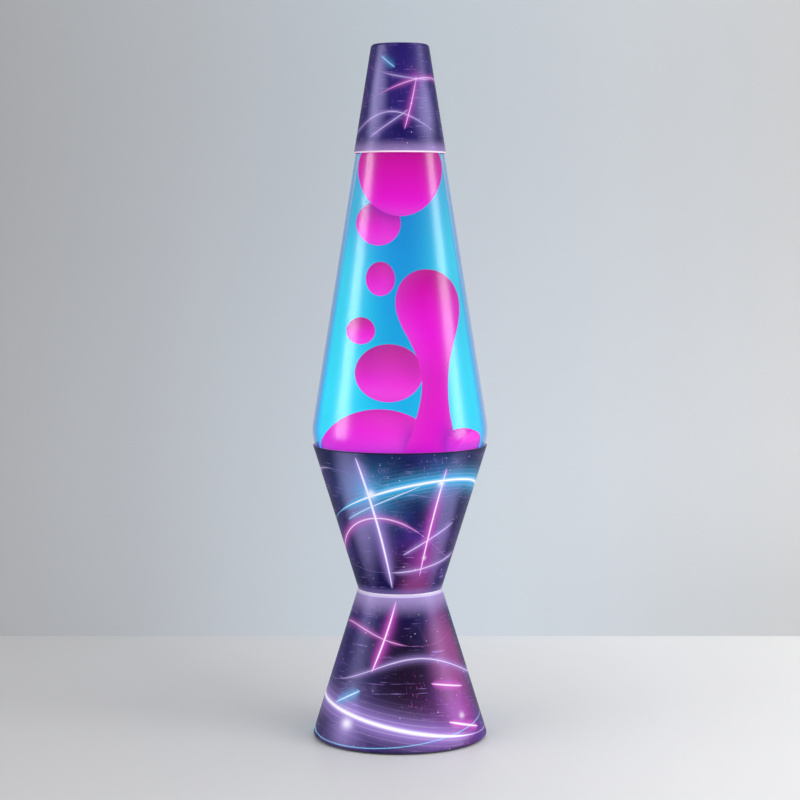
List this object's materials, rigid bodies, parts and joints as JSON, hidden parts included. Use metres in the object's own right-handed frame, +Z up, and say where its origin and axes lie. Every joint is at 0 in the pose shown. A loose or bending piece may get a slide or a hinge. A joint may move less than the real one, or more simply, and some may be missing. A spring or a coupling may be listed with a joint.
{
  "type": "lava lamp",
  "caption": "Motion lamp: a tapered glass bottle of liquid and wax over a screw-in bulb, in an hourglass metal base, under a tapered lift-off cap.",
  "frame": {"origin": "centre of the base, on the table", "axes": "+Z up along the lamp's axis, +Y to the back, where the cord inlet is"},
  "size_m": [0.0934, 0.0934, 0.3686],
  "materials": {
    "printed_metal": "satin",
    "bright_trim": "polished",
    "clear_glass": "gloss",
    "blue_liquid": "gloss",
    "magenta_wax": "satin",
    "coil_wire": "satin",
    "crown_steel": "satin",
    "liner": "matte",
    "bulb_glass": "gloss",
    "bulb_metal": "polished",
    "solder": "satin",
    "black_glass": "gloss",
    "filament": "satin",
    "holder_phenolic": "satin",
    "brass": "polished",
    "zinc_steel": "satin",
    "plate": "matte",
    "rubber": "matte"
  },
  "bodies": {
    "base": {"base_cone": "printed_metal", "waist_ring": "bright_trim", "base_cup": "printed_metal", "socket_bracket": "zinc_steel", "waist_screws": "zinc_steel", "waist_nuts": "zinc_steel", "nipple": "brass", "lock_nuts": "zinc_steel", "plate_washer": "zinc_steel", "bottom_plate": "plate", "rubber_feet": "rubber", "cord_grommet": "rubber", "socket_body": "holder_phenolic", "socket_shell": "brass", "socket_contact": "brass", "terminal_screws": "brass"},
    "bulb_foot": {"bulb_contact": "solder"},
    "bulb": {"bulb_glass": "bulb_glass", "bulb_cap": "bulb_metal", "bulb_insulator": "black_glass", "bulb_stem": "bulb_glass", "bulb_leads": "filament", "bulb_filament": "filament"},
    "bottle": {"bottle_glass": "clear_glass", "crown_cap": "crown_steel", "crown_liner": "liner", "liquid": "blue_liquid", "wax_floats": "magenta_wax", "wax_pool": "magenta_wax", "heat_coil": "coil_wire"},
    "cap": {"cap_shell": "printed_metal"}
  },
  "joints": [
    {"name": "bottle_lift", "type": "slide", "parent": "base", "child": "bottle", "axis": [0, 0, 1], "range_m": [0, 0.045]},
    {"name": "cap_lift", "type": "slide", "parent": "bottle", "child": "cap", "axis": [0, 0, 1], "range_m": [0, 0.055]},
    {"name": "bulb_lift", "type": "slide", "parent": "base", "child": "bulb_foot", "axis": [0, 0, 1], "range_m": [0, 0.00993]},
    {"name": "bulb_turn", "type": "hinge", "parent": "bulb_foot", "child": "bulb", "pos_m": [0, 0, 0.06], "axis": [0, 0, 1], "range_deg": [0, 1260]}
  ],
  "couplings": [
    {"joint": "bulb_lift", "follows": "bulb_turn", "m_per_rad": 0.00044917}
  ]
}
